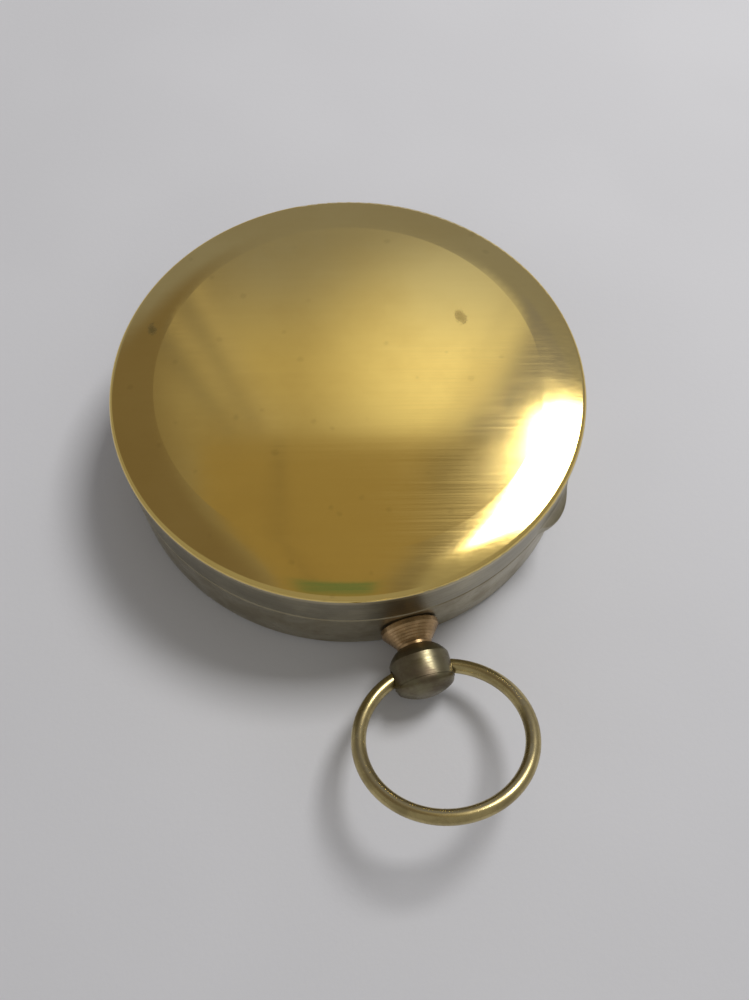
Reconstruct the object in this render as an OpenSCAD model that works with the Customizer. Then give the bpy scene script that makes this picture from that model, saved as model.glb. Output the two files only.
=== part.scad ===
// Geology compass in a round hunter case: a hinged lid over a glazed needle compass with a
// clinometer pendulum, a needle lifter worked by the lid, and a turned pendant with a wire bow.
// Millimetres. The origin is the centre of the case's flat underside, +Z goes up through the
// lid, and the pendant points along -Y.

/* [Case] */
// Outer diameter of the case and its lid
case_d = 75; // [70:0.5:90]
// Height of the closed case, from its underside to the middle of the lid
case_h = 20.2; // [18.5:0.1:26]
// Height of the body, from its underside to the seam
body_h = 11.3; // [10.8:0.1:12.5]
// Thickness of the body's wall
wall_t = 0.9; // [0.7:0.05:1.3]
// Thickness of the body's floor
floor_t = 1.2; // [1.1:0.1:1.8]
// Radius round the outside edge of the floor
base_round = 1.5; // [0.6:0.1:2]
// Width of the open seam between the body and the lid
seam_gap = 0.15; // [0.1:0.05:0.3]
// Chamfer on both outer edges of the seam
seam_chamfer = 0.2; // [0.1:0.05:0.3]

/* [Lid] */
// Thickness of the lid's wall
lid_wall_t = 0.8; // [0.6:0.05:1.1]
// Thickness of the lid's top
lid_top_t = 0.8; // [0.6:0.05:1.2]
// Radius round the top edge of the lid
lid_round = 0.9; // [0.5:0.1:1.2]
// Width of the rolled band round the flat of the lid
lid_band = 7; // [4:0.1:9]
// Fall of the rolled band from the flat to the lid's edge
lid_fall = 0.5; // [0.2:0.05:0.8]
// Radial width of the ring inside the lid's mouth
lid_ring_w = 2.1; // [1.9:0.1:2.6]
// Height of the ring inside the lid's mouth
lid_ring_h = 1.5; // [1:0.1:2.2]

/* [Thumb lip] */
// Angle from the pendant round to the thumb lip, with the hinge straight across from it
lip_turn = 44; // [35:1:60]
// How far the lip stands out from the lid's wall
lip_reach = 1.4; // [0.8:0.1:2.2]
// Radius of the lip's nose, seen from above
lip_nose_r = 7; // [6:0.5:9]
// Radius of the fillets that run the nose into the wall
lip_fillet_r = 5; // [4:0.5:8]
// Height of the lip's hollow flare up the wall
lip_h = 3.2; // [2.6:0.1:4]
// Thickness of the lip's edge
lip_edge_t = 0.5; // [0.3:0.1:0.8]

/* [Hinge] */
// Width of the hinge across its leaves
hinge_w = 14; // [12:0.5:18]
// Outer diameter of the hinge's knuckles
knuckle_d = 2; // [1.8:0.1:2.4]
// Length of the lid's middle knuckle
mid_knuckle_w = 5.6; // [4:0.2:7]
// Diameter of the hinge pin
hinge_pin_d = 1; // [0.8:0.05:1.1]
// Thickness of the hinge's leaves
leaf_t = 0.6; // [0.5:0.05:0.7]
// Height of each leaf up or down the wall
leaf_h = 4.2; // [3.4:0.1:5]

/* [Bezel and glass] */
// Radial width of the bezel round the edge of the glass
bezel_w = 2; // [1.9:0.05:2.6]
// Width of the ledge that holds the glass
glass_ledge = 0.9; // [0.6:0.1:1.4]
// Thickness of the glass
glass_t = 1.5; // [1.2:0.1:1.8]
// How far the bezel stands up above the seam to centre the lid
bezel_stand = 1.8; // [1.5:0.1:2.2]
// Slope of the bezel's inner face, as the width that it opens by at the top
bezel_slope = 0.5; // [0.3:0.1:0.7]
// Radial clearance between the bezel and the lid
lid_clear = 0.35; // [0.25:0.05:0.5]
// Height of the chamber between the dial and the glass
chamber_h = 7.8; // [7.6:0.1:8.3]

/* [Dial] */
// Thickness of the dial plate
dial_t = 0.6; // [0.4:0.1:0.8]
// Number of screws that hold the dial
dial_screw_n = 3; // [3:1:4]
// Distance from the ring round the dial in to the middles of the dial's screws
dial_screw_in = 2.95; // [2:0.05:4]
// Diameter of the small screws' heads
screw_head_d = 2.2; // [1.8:0.1:2.4]
// Diameter of the small screws' shanks
screw_d = 1.1; // [0.9:0.1:1.2]

/* [Needle] */
// Length of the needle from point to point
needle_l = 61; // [54:0.5:62]
// Width of the needle at its middle
needle_w = 5.4; // [5:0.1:7]
// Thickness of the needle
needle_t = 0.45; // [0.35:0.05:0.6]
// Diameter of the cap's foot that the needle sits on
cap_foot_d = 4.4; // [4.2:0.1:5]
// Diameter of the cap above the needle
cap_d = 3.2; // [3:0.1:3.4]
// Distance from the middle to the balance weight on the south arm
weight_at = 12; // [9:0.5:16]
// Length of the balance weight
weight_l = 2.4; // [1.8:0.1:3.2]

/* [Pivot and clinometer] */
// Diameter of the post's journal that carries the pendulum
journal_d = 3; // [2.8:0.1:3.4]
// Diameter of the post where the lifter's collar slides
spindle_d = 2; // [1.8:0.05:2.1]
// Thickness of the pendulum's hub
hub_t = 0.8; // [0.6:0.1:0.9]
// Diameter of the pendulum's hub
hub_d = 6.4; // [6:0.1:7.5]
// Thickness of the pendulum's blade
blade_t = 0.5; // [0.4:0.05:0.6]
// Half the angle that the pendulum's weight spreads over
bob_spread = 24; // [16:1:32]

/* [Needle lifter] */
// How far the lifter raises the needle
lift = 1; // [0.8:0.05:1.1]
// Distance from the middle to the lever's fulcrum
fulcrum_r = 21; // [19.5:0.5:23]
// Thickness of the lever
lever_t = 0.6; // [0.5:0.05:0.7]
// Diameter of the lever's tube round the fulcrum pin
fulcrum_d = 1.9; // [1.8:0.05:2.1]
// Diameter of the fulcrum pin
fulcrum_pin_d = 0.9; // [0.8:0.05:1]
// Diameter of the plunger's stem
plunger_d = 1; // [0.8:0.05:1.05]

/* [Pendant] */
// Diameter of the pendant's rim beside the case
rim_d = 9; // [8:0.1:10]
// Width of the straight land on the rim
rim_land = 0.7; // [0.4:0.1:1]
// Length of the pendant's cone, rim and all
cone_l = 3.5; // [2.8:0.1:5]
// Diameter of the neck at the small end of the cone
neck_d = 5.3; // [4.6:0.1:6]
// Length of the straight land round the neck
neck_land = 0.45; // [0.3:0.05:0.7]
// Number of fine grooves turned into the cone
groove_n = 5; // [3:1:6]
// Width of each groove
groove_w = 0.12; // [0.08:0.02:0.16]
// Diameter of the ball round its band
ball_d = 9.2; // [8.6:0.1:10]
// Length of the ball's shoulder, from the neck to the band
shoulder_l = 1.9; // [1.4:0.1:2.2]
// Diameter of the ball's flat beside the neck
shoulder_in_d = 5.8; // [5.4:0.1:6.6]
// Length of the ball, without its dome
ball_l = 5.6; // [5.2:0.1:6.5]
// Height of the dome on the ball's end
dome_h = 2; // [1.8:0.05:3]
// Diameter of the ball's threaded shank
shank_d = 3; // [2.6:0.1:3.4]

/* [Bow] */
// Diameter of the bow along the middle of its wire
bow_d = 24.4; // [22:0.2:30]
// Diameter of the bow's wire
wire_d = 2.14; // [1.8:0.02:2.4]
// Distance from the ball's neck face to the cross hole
hole_in = 3.85; // [3.4:0.05:4.1]
// Angle that the bow stands up from level
bow_tilt = 22.4; // [0:0.2:60]

/* [Hidden] */
$fn = 180;
// Clearances: a seat that is pressed or soldered, a running fit, and free air.
seat = 0.02;
run = 0.05;
air = 0.2;
EPS = 0.01;
// Deep enough to cut through anything here.
THROUGH = 200;

case_r = case_d / 2;
inner_r = case_r - wall_t;
lid_z = body_h + seam_gap;
lid_inner_r = case_r - lid_wall_t;
lid_edge_z = case_h - lid_fall;
hinge_turn = lip_turn + 180 - 90;
lid_flat_r = case_r - lid_band;
// The roll's radius, by which its arc touches the round of the edge from inside.
roll_in = lid_band - lid_round;
roll_down = lid_fall + lid_round;
roll_r = (pow(roll_in, 2) + pow(roll_down, 2) - pow(lid_round, 2)) / (2 * (roll_down - lid_round));
roll_lean = atan2(roll_in, roll_r - roll_down);
touch_r = lid_flat_r + roll_r * sin(roll_lean);
touch_z = case_h - roll_r * (1 - cos(roll_lean));

// Rings that stack inside the body, from the floor up.
dial_z = floor_t;
chamber_z = dial_z + dial_t;
glass_z = chamber_z + chamber_h;
bezel_top = body_h + bezel_stand;
bezel_r = lid_inner_r - lid_clear;
glass_pocket_r = bezel_r - bezel_w;
glass_r = glass_pocket_r - run;
opening_r = glass_pocket_r - glass_ledge;
dial_screw_r = opening_r - dial_screw_in;
corner_fillet = 0.5;
dial_r = inner_r - corner_fillet - 0.1;
lid_ring_z = bezel_top + 0.3;

// Pivot post and pendulum, from the dial up.
post_neck_r = 0.55;
point_l = 0.9;
point_r = 0.06;
blade_half_w = 1.3;
blade_tip_half_w = 0.5;
bob_edge_in = 2;
post_foot_t = 0.3;
post_foot_d = hub_d - 1;
post_shank_d = spindle_d;
hub_z = chamber_z + post_foot_t + run;
journal_top = hub_z + hub_t + run;
keeper_t = 0.35;
keeper_top = journal_top + keeper_t;

// Lifter and needle at rest, which is with the lid closed and the needle lifted.
lever_z = keeper_top + 0.15 + lift;
fulcrum_z = lever_z + 0.2;
fulcrum_top = fulcrum_z + fulcrum_d / 2;
collar_flange_z = lever_z + lever_t + air;
collar_flange_t = 0.5;
collar_d = spindle_d + 1.4;
cap_z = collar_flange_z + collar_flange_t + 0.15;
needle_z = fulcrum_top + 0.3 + lift;
cap_top = glass_z - air;
jewel_h = 0.8;
jewel_d = 1.8;
cap_roof = 0.5;
cap_crown = 1.1;
cap_corner = 0.6;
cap_bore_r = 1.15;
jewel_z = cap_top - cap_roof - jewel_h;
jewel_apex = jewel_z + jewel_h - 0.15;
tip_z = jewel_apex - lift - 0.06;
plunger_r = (glass_pocket_r + bezel_r) / 2;
plunger_z = lever_z + lever_t + 0.1;
plunger_top = lid_ring_z - 0.1;
plunger_foot_t = 0.6;
bracket_l = 4.4;
bracket_w = 11.2;
bracket_t = 0.5;
ear_t = 0.6;
lever_hub_w = 3.4;
ear_in = lever_hub_w / 2 + 0.15;
bracket_screw_y = 4.2;
pend_reach = fulcrum_r - bracket_l / 2 - 1.2;
slot_w = 2.6;
lever_end_w = slot_w - 0.6;
spring_t = 0.25;
spring_screw_x = fulcrum_r + bracket_l / 2 + 2;
screw_head_t = 0.45;
screw_end_z = floor_t - 0.7;

// Hinge, seen with X pointing out of the case.
knuckle_r = knuckle_d / 2;
hinge_x = case_r + knuckle_r + air;
hinge_z = body_h + seam_gap / 2;
knuckle_clear = 0.15;
web_in = 0.2;
web_h = 1;
side_w = (hinge_w - mid_knuckle_w) / 2 - knuckle_clear;
side_y = (hinge_w - side_w) / 2;

// Pendant and bow, measured outwards from the case's axis.
pendant_z = body_h / 2;
rim_at = case_r + 0.15;
face_at = rim_at + cone_l;
hole_at = face_at + hole_in;
spigot_in = 1.1;
spigot_l = 1;
neck_step = 0.1;
band_r = ball_d / 2;
band_step = 0.12;
dome_corner = 1.2;
shoulder_in = shoulder_in_d / 2;
shank_end = opening_r + 0.7;
bow_r = bow_d / 2;
wire_r = wire_d / 2;
// The wire's circle runs just inside the ball, where its ends are turned down to pins.
bow_end_x = ball_d / 2 - 0.4;
bow_reach = sqrt(pow(bow_r, 2) - pow(bow_end_x, 2));
bow_end_angle = asin(bow_end_x / bow_r);
bow_pin_d = wire_d - 0.3;
bow_pin_l = 3;
mouth_d = wire_d + 0.56;
mouth_depth = 1.05;

POLISHED = [0.80, 0.66, 0.36];
WALL_BRASS = [0.55, 0.50, 0.38];
DARK_BRASS = [0.42, 0.38, 0.27];
BOW_BRASS = [0.56, 0.48, 0.28];
BRIGHT = [0.83, 0.71, 0.42];
STEEL = [0.62, 0.64, 0.67];
BLUED = [0.16, 0.22, 0.38];
SILVERED = [0.86, 0.86, 0.83];

// ---- Shapes used more than once ----

// A flat ring standing on z.
module tube(z, h, r_out, r_in) {
    translate([0, 0, z])
        difference() {
            cylinder(h = h, r = r_out);
            translate([0, 0, -1]) cylinder(h = h + 2, r = r_in);
        }
}

// A plain disc standing on z.
module disc(z, h, r) {
    translate([0, 0, z]) cylinder(h = h, r = r);
}

// Turns what follows round to the hinge's side, where X points out of the case.
module at_hinge() {
    rotate([0, 0, hinge_turn]) children();
}

// Turns an upright piece to lie along the pendant's axis, its own Z pointing out of the case.
module along_pendant() {
    translate([0, 0, pendant_z]) rotate([90, 0, 0]) children();
}

// Places copies at the dial's screws.
module at_dial_screws() {
    for (i = [0:dial_screw_n - 1])
        rotate([0, 0, hinge_turn + 60 + i * 360 / dial_screw_n])
            translate([dial_screw_r, 0, 0]) children();
}

// Places copies at the screws of the lever's bracket and spring.
module at_lifter_screws() {
    at_hinge() {
        for (side = [-1, 1]) translate([fulcrum_r, side * bracket_screw_y, 0]) children();
        translate([spring_screw_x, 0, 0]) children();
    }
}

// A cheese-head screw whose head sits on z, with a slot across the head.
module small_screw(z) {
    difference() {
        union() {
            disc(z, screw_head_t, screw_head_d / 2);
            disc(screw_end_z, z - screw_end_z, screw_d / 2);
        }
        translate([-screw_head_d, -0.15, z + screw_head_t - 0.2])
            cube([2 * screw_head_d, 0.3, 1]);
    }
}

// Half the outline of a crown: a rise h over a half width r, turned with a corner radius.
module crown_profile(r, h, corner) {
    big = (pow(r - corner, 2) + pow(h, 2) - pow(corner, 2)) / (2 * (h - corner));
    far = 2 * r;
    lean = atan2(r - corner, big - h);
    intersection() {
        translate([0, h - big]) circle(big);
        polygon([[0, h - big], [far * sin(lean), h - big + far * cos(lean)], [0, far]]);
        square([r, h + 1]);
    }
    intersection() {
        translate([r - corner, 0]) circle(corner);
        square([r, h]);
    }
    polygon([[0, 0], [r - corner, 0], [(big * sin(lean)), h - big + big * cos(lean)],
        [0, h - EPS]]);
}

// ---- Case ----

module case_profile() {
    difference() {
        union() {
            translate([case_r - base_round, base_round]) circle(base_round);
            polygon([[0, 0], [case_r - base_round, 0], [case_r - base_round, base_round],
                [case_r, base_round], [case_r, body_h - seam_chamfer],
                [case_r - seam_chamfer, body_h], [0, body_h]]);
        }
        translate([0, floor_t + corner_fillet]) square([inner_r, body_h]);
        translate([0, floor_t]) square([inner_r - corner_fillet, body_h]);
        translate([inner_r - corner_fillet, floor_t + corner_fillet]) circle(corner_fillet);
        translate([-case_r, -1]) square([case_r, body_h + 2]);
    }
}

module case_body() {
    color(WALL_BRASS)
        difference() {
            rotate_extrude() case_profile();
            // Way for the pendant's shank.
            along_pendant() disc(inner_r - 2, wall_t + 4, shank_d / 2 + run);
            // Blind holes for the post and the screws.
            disc(floor_t - 0.8, 1, post_shank_d / 2);
            at_dial_screws() disc(screw_end_z, 1, screw_d / 2);
            at_lifter_screws() disc(screw_end_z, 1, screw_d / 2);
        }
}

// Split ring that clamps the dial and carries the glass. Its slot frees the lever and plunger.
module spacer_ring() {
    color(BRIGHT)
        difference() {
            tube(chamber_z, chamber_h, inner_r - seat, opening_r);
            along_pendant() disc(opening_r - 2, THROUGH, shank_d / 2 + seat);
            at_hinge()
                translate([opening_r - 2, -slot_w / 2, 0]) cube([THROUGH, slot_w, THROUGH]);
        }
}

module bezel() {
    color(POLISHED)
        difference() {
            union() {
                disc(glass_z, body_h - glass_z, inner_r - seat);
                disc(body_h - EPS, bezel_top - body_h - 0.3 + EPS, bezel_r);
                translate([0, 0, bezel_top - 0.3])
                    cylinder(h = 0.3, r1 = bezel_r, r2 = bezel_r - 0.3);
            }
            // Pocket for the glass, then the sloping opening above it.
            disc(glass_z - 1, glass_t + 1, glass_pocket_r);
            disc(glass_z, THROUGH, opening_r);
            translate([0, 0, glass_z + glass_t + 0.4])
                cylinder(h = bezel_top - glass_z - glass_t, r1 = opening_r,
                    r2 = opening_r + bezel_slope);
            at_hinge() translate([plunger_r, 0, 0]) disc(0, THROUGH, plunger_d / 2 + run);
        }
}

module glass() {
    color([0.75, 0.86, 0.88, 0.35])
        difference() {
            disc(glass_z, glass_t, glass_r);
            // Ground edge round the top.
            translate([0, 0, glass_z + glass_t])
                rotate_extrude() translate([glass_r, 0]) circle(0.2);
        }
}

// ---- Dial ----

module dial_plate() {
    color(SILVERED)
        difference() {
            disc(dial_z, dial_t, dial_r);
            disc(-1, THROUGH, post_shank_d / 2 + run);
            at_dial_screws() disc(-1, THROUGH, screw_d / 2 + run);
            at_lifter_screws() disc(-1, THROUGH, screw_d / 2 + run);
        }
}

module dial_screws() {
    color(BRIGHT) at_dial_screws() small_screw(chamber_z);
}

// ---- Pivot and pendulum ----

// The post is turned in one piece: shank, foot, journal, spindle, neck and point.
module pivot_post() {
    neck_z = collar_flange_z;
    color(BRIGHT)
        union() {
            disc(floor_t - 0.8, chamber_z - floor_t + 0.8 + EPS, post_shank_d / 2);
            disc(chamber_z, post_foot_t, post_foot_d / 2);
            disc(chamber_z, journal_top - chamber_z, journal_d / 2);
            disc(chamber_z, neck_z - chamber_z, spindle_d / 2);
            disc(neck_z - EPS, tip_z - neck_z - point_l + EPS, post_neck_r);
            translate([0, 0, tip_z - point_l])
                cylinder(h = point_l, r1 = post_neck_r, r2 = point_r);
        }
}

// Clinometer pendulum: hub, slim blade, fan-shaped weight and a pointer at the tip.
module pendulum() {
    bob_in = pend_reach * 0.55;
    bob_out = pend_reach - bob_edge_in;
    blade_z = hub_z + 0.15;
    color(DARK_BRASS)
        difference() {
            union() {
                disc(hub_z, hub_t, hub_d / 2);
                translate([0, 0, blade_z])
                    linear_extrude(blade_t) {
                        polygon([[-blade_half_w, 0], [-blade_tip_half_w, -bob_out],
                            [0, -pend_reach], [blade_tip_half_w, -bob_out],
                            [blade_half_w, 0]]);
                        intersection() {
                            difference() {
                                circle(bob_out);
                                circle(bob_in);
                            }
                            polygon([[0, 0], [-THROUGH * sin(bob_spread), -THROUGH],
                                [THROUGH * sin(bob_spread), -THROUGH]]);
                        }
                    }
            }
            disc(-1, THROUGH, journal_d / 2 + run);
        }
}

module pendulum_keeper() {
    color(BRIGHT) tube(journal_top, keeper_t, hub_d / 2 - 1, spindle_d / 2 + seat);
}

// ---- Needle lifter ----

// Bracket with two ears that hold the fulcrum pin.
module lever_bracket() {
    ear_r = fulcrum_d / 2;
    color(BRIGHT)
        at_hinge()
            difference() {
                union() {
                    translate([fulcrum_r - bracket_l / 2, -bracket_w / 2, chamber_z])
                        cube([bracket_l, bracket_w, bracket_t]);
                    for (side = [-1, 1])
                        translate([fulcrum_r, side * (ear_in + ear_t / 2), 0]) {
                            translate([0, ear_t / 2, fulcrum_z])
                                rotate([90, 0, 0]) cylinder(h = ear_t, r = ear_r);
                            translate([-ear_r, -ear_t / 2, chamber_z])
                                cube([2 * ear_r, ear_t, fulcrum_z - chamber_z]);
                        }
                }
                translate([fulcrum_r, bracket_w / 2, fulcrum_z])
                    rotate([90, 0, 0]) cylinder(h = bracket_w, r = fulcrum_pin_d / 2 + seat);
                for (side = [-1, 1])
                    translate([fulcrum_r, side * bracket_screw_y, 0])
                        disc(0, THROUGH, screw_d / 2 + run);
            }
}

module lifter_screws() {
    color(STEEL)
        at_hinge() {
            for (side = [-1, 1])
                translate([fulcrum_r, side * bracket_screw_y, 0])
                    small_screw(chamber_z + bracket_t);
            translate([spring_screw_x, 0, 0]) small_screw(chamber_z + spring_t);
        }
}

module fulcrum_pin() {
    half = ear_in + ear_t + 0.1;
    color(STEEL)
        at_hinge()
            translate([fulcrum_r, half, fulcrum_z])
                rotate([90, 0, 0]) cylinder(h = 2 * half, r = fulcrum_pin_d / 2);
}

// Rocking lever: an eye round the collar, a tapered arm, a tube for the pin and a narrow tail.
module lifter_lever() {
    eye_r = collar_d / 2 + 0.35;
    tail = plunger_r + 0.6;
    color(BRIGHT)
        at_hinge()
            difference() {
                union() {
                    translate([0, 0, lever_z])
                        linear_extrude(lever_t) {
                            circle(eye_r + 1.1);
                            polygon([[0, -1.9], [fulcrum_r, -1.4], [tail, -lever_end_w / 2],
                                [tail, lever_end_w / 2], [fulcrum_r, 1.4], [0, 1.9]]);
                        }
                    translate([fulcrum_r, lever_hub_w / 2, fulcrum_z])
                        rotate([90, 0, 0]) cylinder(h = lever_hub_w, r = fulcrum_d / 2);
                }
                disc(0, THROUGH, eye_r);
                translate([fulcrum_r, lever_hub_w, fulcrum_z])
                    rotate([90, 0, 0])
                        cylinder(h = 2 * lever_hub_w, r = fulcrum_pin_d / 2 + run);
            }
}

// Leaf spring under the lever's tail: a flat foot, a rising leaf and a level pad.
module lifter_spring() {
    foot = 1.6;
    pad_z = lever_z - 0.1;
    pad_x = opening_r - 0.4;
    rise_x = spring_screw_x + foot;
    color(STEEL)
        at_hinge()
            difference() {
                translate([0, lever_end_w / 2, 0])
                    rotate([90, 0, 0])
                        linear_extrude(lever_end_w)
                            polygon([[spring_screw_x - foot, chamber_z], [rise_x, chamber_z],
                                [pad_x - 0.8, pad_z - spring_t], [pad_x, pad_z - spring_t],
                                [pad_x, pad_z], [pad_x - 1, pad_z],
                                [rise_x - 0.2, chamber_z + spring_t],
                                [spring_screw_x - foot, chamber_z + spring_t]]);
                translate([spring_screw_x, 0, 0]) disc(0, THROUGH, screw_d / 2 + run);
            }
}

// Collar that slides on the post and carries the needle's cap upwards.
module lifter_collar() {
    sleeve_z = keeper_top + lift + air;
    color(BRIGHT)
        difference() {
            union() {
                disc(sleeve_z, collar_flange_z - sleeve_z + EPS, collar_d / 2);
                disc(collar_flange_z, collar_flange_t, collar_d / 2 + 0.8);
            }
            disc(0, THROUGH, spindle_d / 2 + run);
        }
}

module lift_plunger() {
    color(STEEL)
        at_hinge()
            translate([plunger_r, 0, 0])
                difference() {
                    union() {
                        disc(plunger_z, plunger_foot_t, plunger_d / 2 + 0.35);
                        disc(plunger_z, plunger_top - plunger_z, plunger_d / 2);
                    }
                    translate([0, 0, plunger_top])
                        rotate_extrude() translate([plunger_d / 2, 0]) circle(0.15);
                }
}

// ---- Needle ----

module needle() {
    tip_w = 0.5;
    color(BLUED)
        difference() {
            translate([0, 0, needle_z])
                linear_extrude(needle_t) {
                    polygon([[-needle_w / 2, 0], [-tip_w / 2, -needle_l / 2],
                        [tip_w / 2, -needle_l / 2], [needle_w / 2, 0],
                        [0, needle_l / 2]]);
                    circle(needle_w / 2);
                }
            disc(0, THROUGH, cap_d / 2 + seat);
        }
}

// Cap with a foot under the needle, a bore for the post and a pocket for the jewel.
module needle_cap() {
    top_h = cap_top - needle_z;
    color(BRIGHT)
        difference() {
            union() {
                disc(cap_z, needle_z - cap_z, cap_foot_d / 2);
                translate([0, 0, needle_z - EPS])
                    rotate_extrude() {
                        square([cap_d / 2, top_h - cap_crown + EPS]);
                        translate([0, top_h - cap_crown + EPS])
                            crown_profile(cap_d / 2, cap_crown, cap_corner);
                    }
            }
            disc(0, jewel_z, cap_bore_r);
            disc(jewel_z - EPS, jewel_h + EPS, jewel_d / 2);
        }
}

module needle_jewel() {
    color([0.62, 0.10, 0.18])
        difference() {
            disc(jewel_z, jewel_h, jewel_d / 2 - seat);
            translate([0, 0, jewel_z - EPS])
                cylinder(h = jewel_apex - jewel_z + EPS, r1 = 0.55, r2 = 0.08);
        }
}

// Wire clip wound round the south arm, modelled as a rectangular loop.
module balance_weight() {
    arm_w = needle_w * (1 - weight_at / (needle_l / 2)) + 0.5;
    wall = 0.3;
    color(BRIGHT)
        difference() {
            translate([-arm_w / 2 - wall, -weight_at - weight_l / 2, needle_z - wall - seat])
                cube([arm_w + 2 * wall, weight_l, needle_t + 2 * (wall + seat)]);
            translate([-arm_w / 2, -weight_at - weight_l, needle_z - seat])
                cube([arm_w, 2 * weight_l, needle_t + 2 * seat]);
        }
}

// ---- Hinge ----

// Outline of a leaf's knuckle and the web that joins it to the leaf, drawn above the axis.
module knuckle_profile() {
    root_x = case_r + seat + web_in;
    translate([hinge_x, 0]) circle(knuckle_r);
    polygon([[root_x, web_in], [hinge_x, web_in], [hinge_x, knuckle_r],
        [case_r + leaf_t, knuckle_r + web_h], [root_x, knuckle_r + web_h]]);
}

// A knuckle of the given width, centred at y.
module knuckle(y, w) {
    translate([0, y + w / 2, 0]) rotate([90, 0, 0]) linear_extrude(w) knuckle_profile();
}

// The leaf that hugs the wall above the axis, without its knuckles.
module leaf_plate() {
    intersection() {
        tube(seam_gap / 2, leaf_h, case_r + leaf_t, case_r + seat);
        translate([0, -hinge_w / 2, 0]) cube([THROUGH, hinge_w, leaf_h + 1]);
    }
}

// Clears a leaf for the other leaf's knuckle.
module knuckle_way(y, w) {
    translate([hinge_x, y + w / 2, 0])
        rotate([90, 0, 0]) cylinder(h = w, r = knuckle_r + air - EPS);
}

module hinge_case_leaf() {
    color(DARK_BRASS)
        at_hinge()
            translate([0, 0, hinge_z])
                mirror([0, 0, 1])
                    difference() {
                        union() {
                            leaf_plate();
                            for (side = [-1, 1]) knuckle(side * side_y, side_w);
                        }
                        tube(-THROUGH / 2, THROUGH, case_r + seat, EPS);
                        knuckle_way(0, mid_knuckle_w + 2 * knuckle_clear);
                        translate([hinge_x, hinge_w, 0])
                            rotate([90, 0, 0])
                                cylinder(h = 2 * hinge_w, r = hinge_pin_d / 2 + seat);
                    }
}

module hinge_lid_leaf() {
    color(DARK_BRASS)
        at_hinge()
            translate([0, 0, hinge_z])
                difference() {
                    union() {
                        leaf_plate();
                        knuckle(0, mid_knuckle_w);
                    }
                    tube(-THROUGH / 2, THROUGH, case_r + seat, EPS);
                    for (side = [-1, 1])
                        knuckle_way(side * side_y, side_w + 2 * knuckle_clear);
                    translate([hinge_x, hinge_w, 0])
                        rotate([90, 0, 0])
                            cylinder(h = 2 * hinge_w, r = hinge_pin_d / 2 + run);
                }
}

module hinge_pin() {
    half = hinge_w / 2 + 0.1;
    color(STEEL)
        at_hinge()
            translate([hinge_x, half, hinge_z])
                rotate([90, 0, 0]) cylinder(h = 2 * half, r = hinge_pin_d / 2);
}

// ---- Lid ----

// Half the section of the lid without its hollow. The top is flat, then an arc rolls it down
// into the small round of the edge, and the two arcs touch.
module lid_outline() {
    edge_r = case_r - lid_round;
    corner_z = lid_edge_z - lid_round;
    far_x = edge_r + 2 * lid_round * sin(roll_lean);
    far_z = corner_z + 2 * lid_round * cos(roll_lean);
    polygon([[0, lid_z], [case_r - seam_chamfer, lid_z], [case_r, lid_z + seam_chamfer],
        [case_r, corner_z], [edge_r, corner_z], [touch_r, touch_z],
        [lid_flat_r, case_h], [0, case_h]]);
    intersection() {
        translate([lid_flat_r, case_h - roll_r]) circle(roll_r);
        polygon([[lid_flat_r, corner_z], [lid_flat_r, case_h + 1], [far_x, far_z],
            [edge_r, corner_z]]);
    }
    intersection() {
        translate([edge_r, corner_z]) circle(lid_round);
        polygon([[edge_r, corner_z], [far_x, far_z], [case_r + lid_round, far_z],
            [case_r + lid_round, corner_z]]);
    }
}

module lid_profile() {
    hollow_z = lid_edge_z - lid_top_t;
    difference() {
        lid_outline();
        translate([-1, 0]) square([lid_inner_r + 1, hollow_z]);
        polygon([[-1, 0], [lid_inner_r - 1, 0], [lid_inner_r - 1, hollow_z],
            [lid_flat_r, case_h - lid_top_t], [-1, case_h - lid_top_t]]);
    }
}

// Plan of the thumb lip: a round nose run into the wall by two fillets. The fillets touch a
// circle just under the wall's face, so that they cross the face cleanly.
module lip_plan() {
    root_r = case_r - 0.05;
    nose_x = case_r + lip_reach - lip_nose_r;
    out = root_r + lip_fillet_r;
    near = lip_nose_r + lip_fillet_r;
    fx = (pow(out, 2) - pow(near, 2) + pow(nose_x, 2)) / (2 * nose_x);
    fy = sqrt(pow(out, 2) - pow(fx, 2));
    touch = lip_fillet_r / near;
    root = root_r / out;
    difference() {
        union() {
            intersection() {
                translate([nose_x, 0]) circle(lip_nose_r);
                translate([case_r - wall_t / 2, -fy]) square([THROUGH, 2 * fy]);
            }
            polygon([[case_r - wall_t, -fy * root], [fx * root, -fy * root],
                [fx + (nose_x - fx) * touch, -fy * (1 - touch)],
                [fx + (nose_x - fx) * touch, fy * (1 - touch)],
                [fx * root, fy * root], [case_r - wall_t, fy * root]]);
        }
        for (side = [-1, 1]) translate([fx, side * fy]) circle(lip_fillet_r);
        circle(case_r - lid_wall_t / 2);
    }
}

// Thumb lip pressed out of the lid's wall. Its hollow flare is an arc that leaves the wall
// upright and ends at the lip's edge.
module thumb_lip() {
    rise = lip_h - lip_edge_t;
    flare_r = (pow(rise, 2) + pow(lip_reach, 2)) / (2 * lip_reach);
    rotate([0, 0, lip_turn - 90])
        intersection() {
            translate([0, 0, lid_z]) linear_extrude(lip_h) lip_plan();
            rotate_extrude()
                difference() {
                    translate([case_r - 1, lid_z]) square([lip_reach + 1, lip_h]);
                    translate([case_r + flare_r - 0.03, lid_z + lip_h]) circle(flare_r);
                }
        }
}

module lid_shell() {
    color(POLISHED)
        union() {
            rotate_extrude() lid_profile();
            thumb_lip();
        }
}

// Ring soldered inside the lid's mouth. It stiffens the lid and presses the plunger down.
module lid_ring() {
    color(BRIGHT)
        tube(lid_ring_z, lid_ring_h, lid_inner_r - seat, lid_inner_r - lid_ring_w);
}

// ---- Pendant and bow ----

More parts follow.
